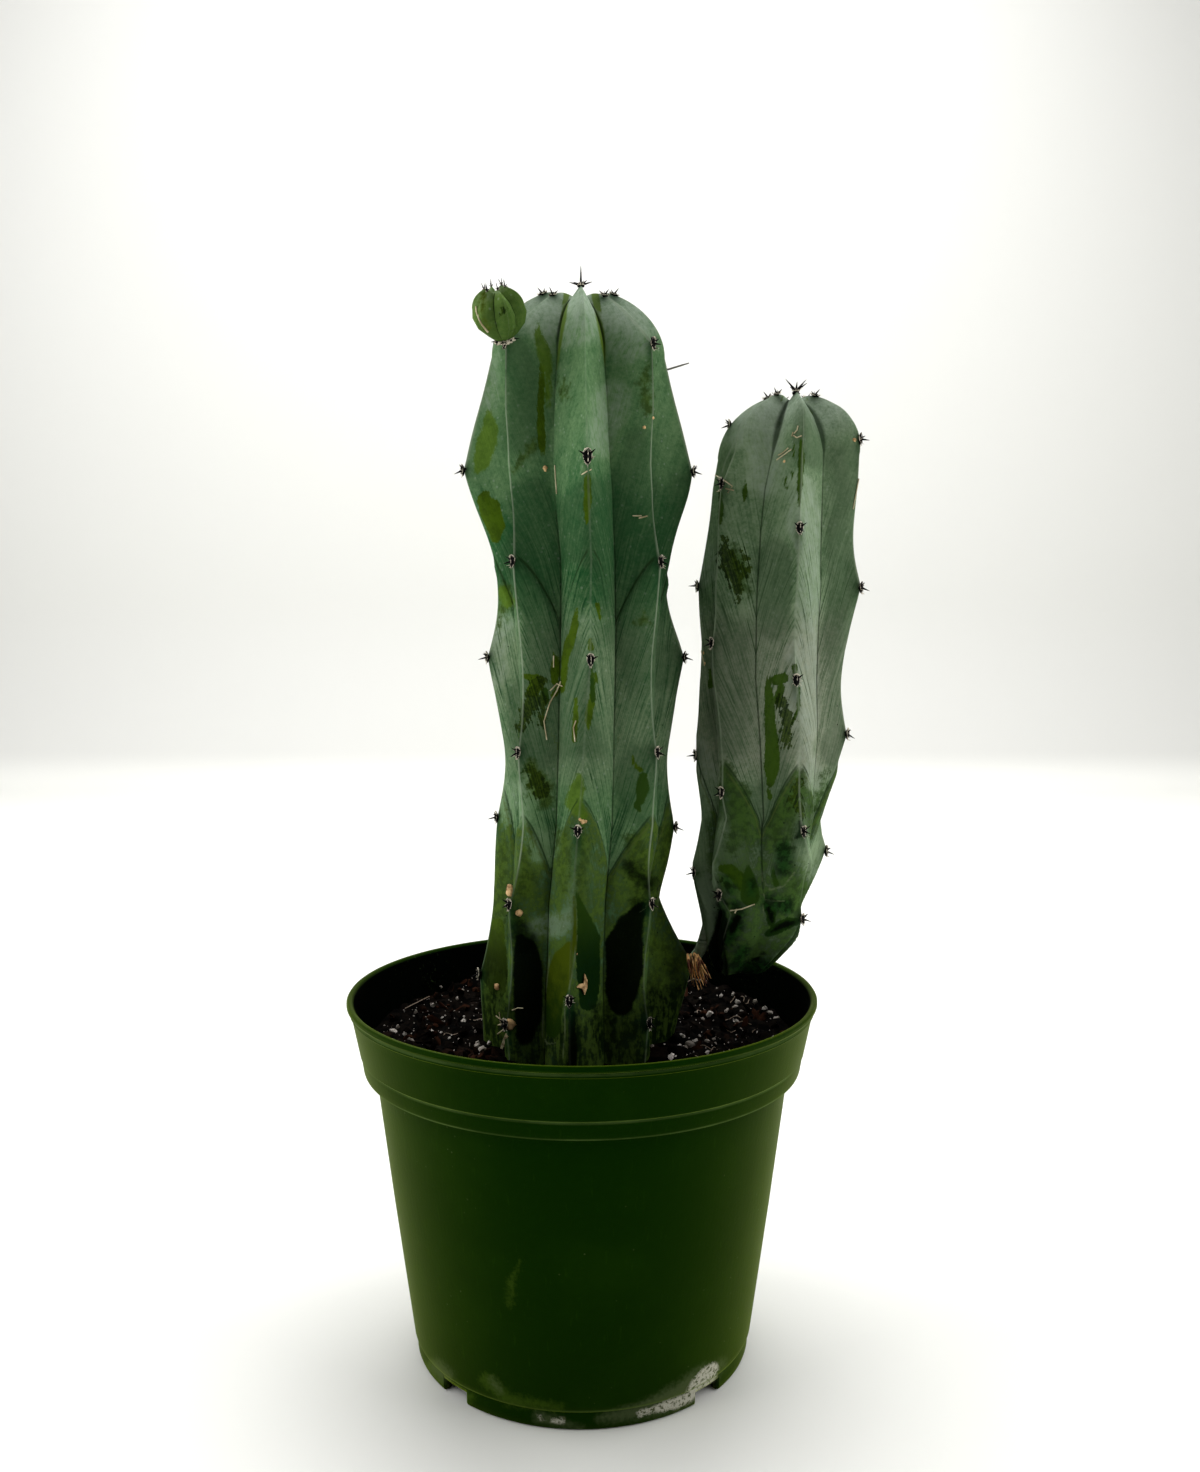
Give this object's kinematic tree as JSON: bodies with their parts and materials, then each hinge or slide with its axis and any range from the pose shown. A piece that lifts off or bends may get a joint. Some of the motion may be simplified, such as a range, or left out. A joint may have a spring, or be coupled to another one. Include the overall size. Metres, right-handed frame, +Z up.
{
  "type": "potted cactus",
  "caption": "Ribbed blue candle cactus with a side stem and a young offset, growing in a plain round plastic nursery pot filled with soil.",
  "frame": {"origin": "middle of the pot's underside, on the floor", "axes": "+Z up along the pot's axis and the stems, -Y towards the front seen in the picture, +X to the right, towards the side stem"},
  "size_m": [0.1817, 0.165, 0.3745],
  "materials": {
    "pot_plastic": "satin dark green injection-moulded plastic",
    "potting_soil": "dark damp potting mix of bark, peat and perlite grains",
    "stem_skin": "waxy blue-green cactus skin with a pale bloom",
    "side_skin": "waxy blue-green cactus skin with a pale bloom",
    "young_skin": "smooth yellow-green young cactus skin"
  },
  "bodies": {
    "root": {"pot": "pot_plastic", "soil": "potting_soil", "main_stem": "stem_skin", "side_stem": "side_skin", "offset_pup": "young_skin"}
  },
  "joints": []
}
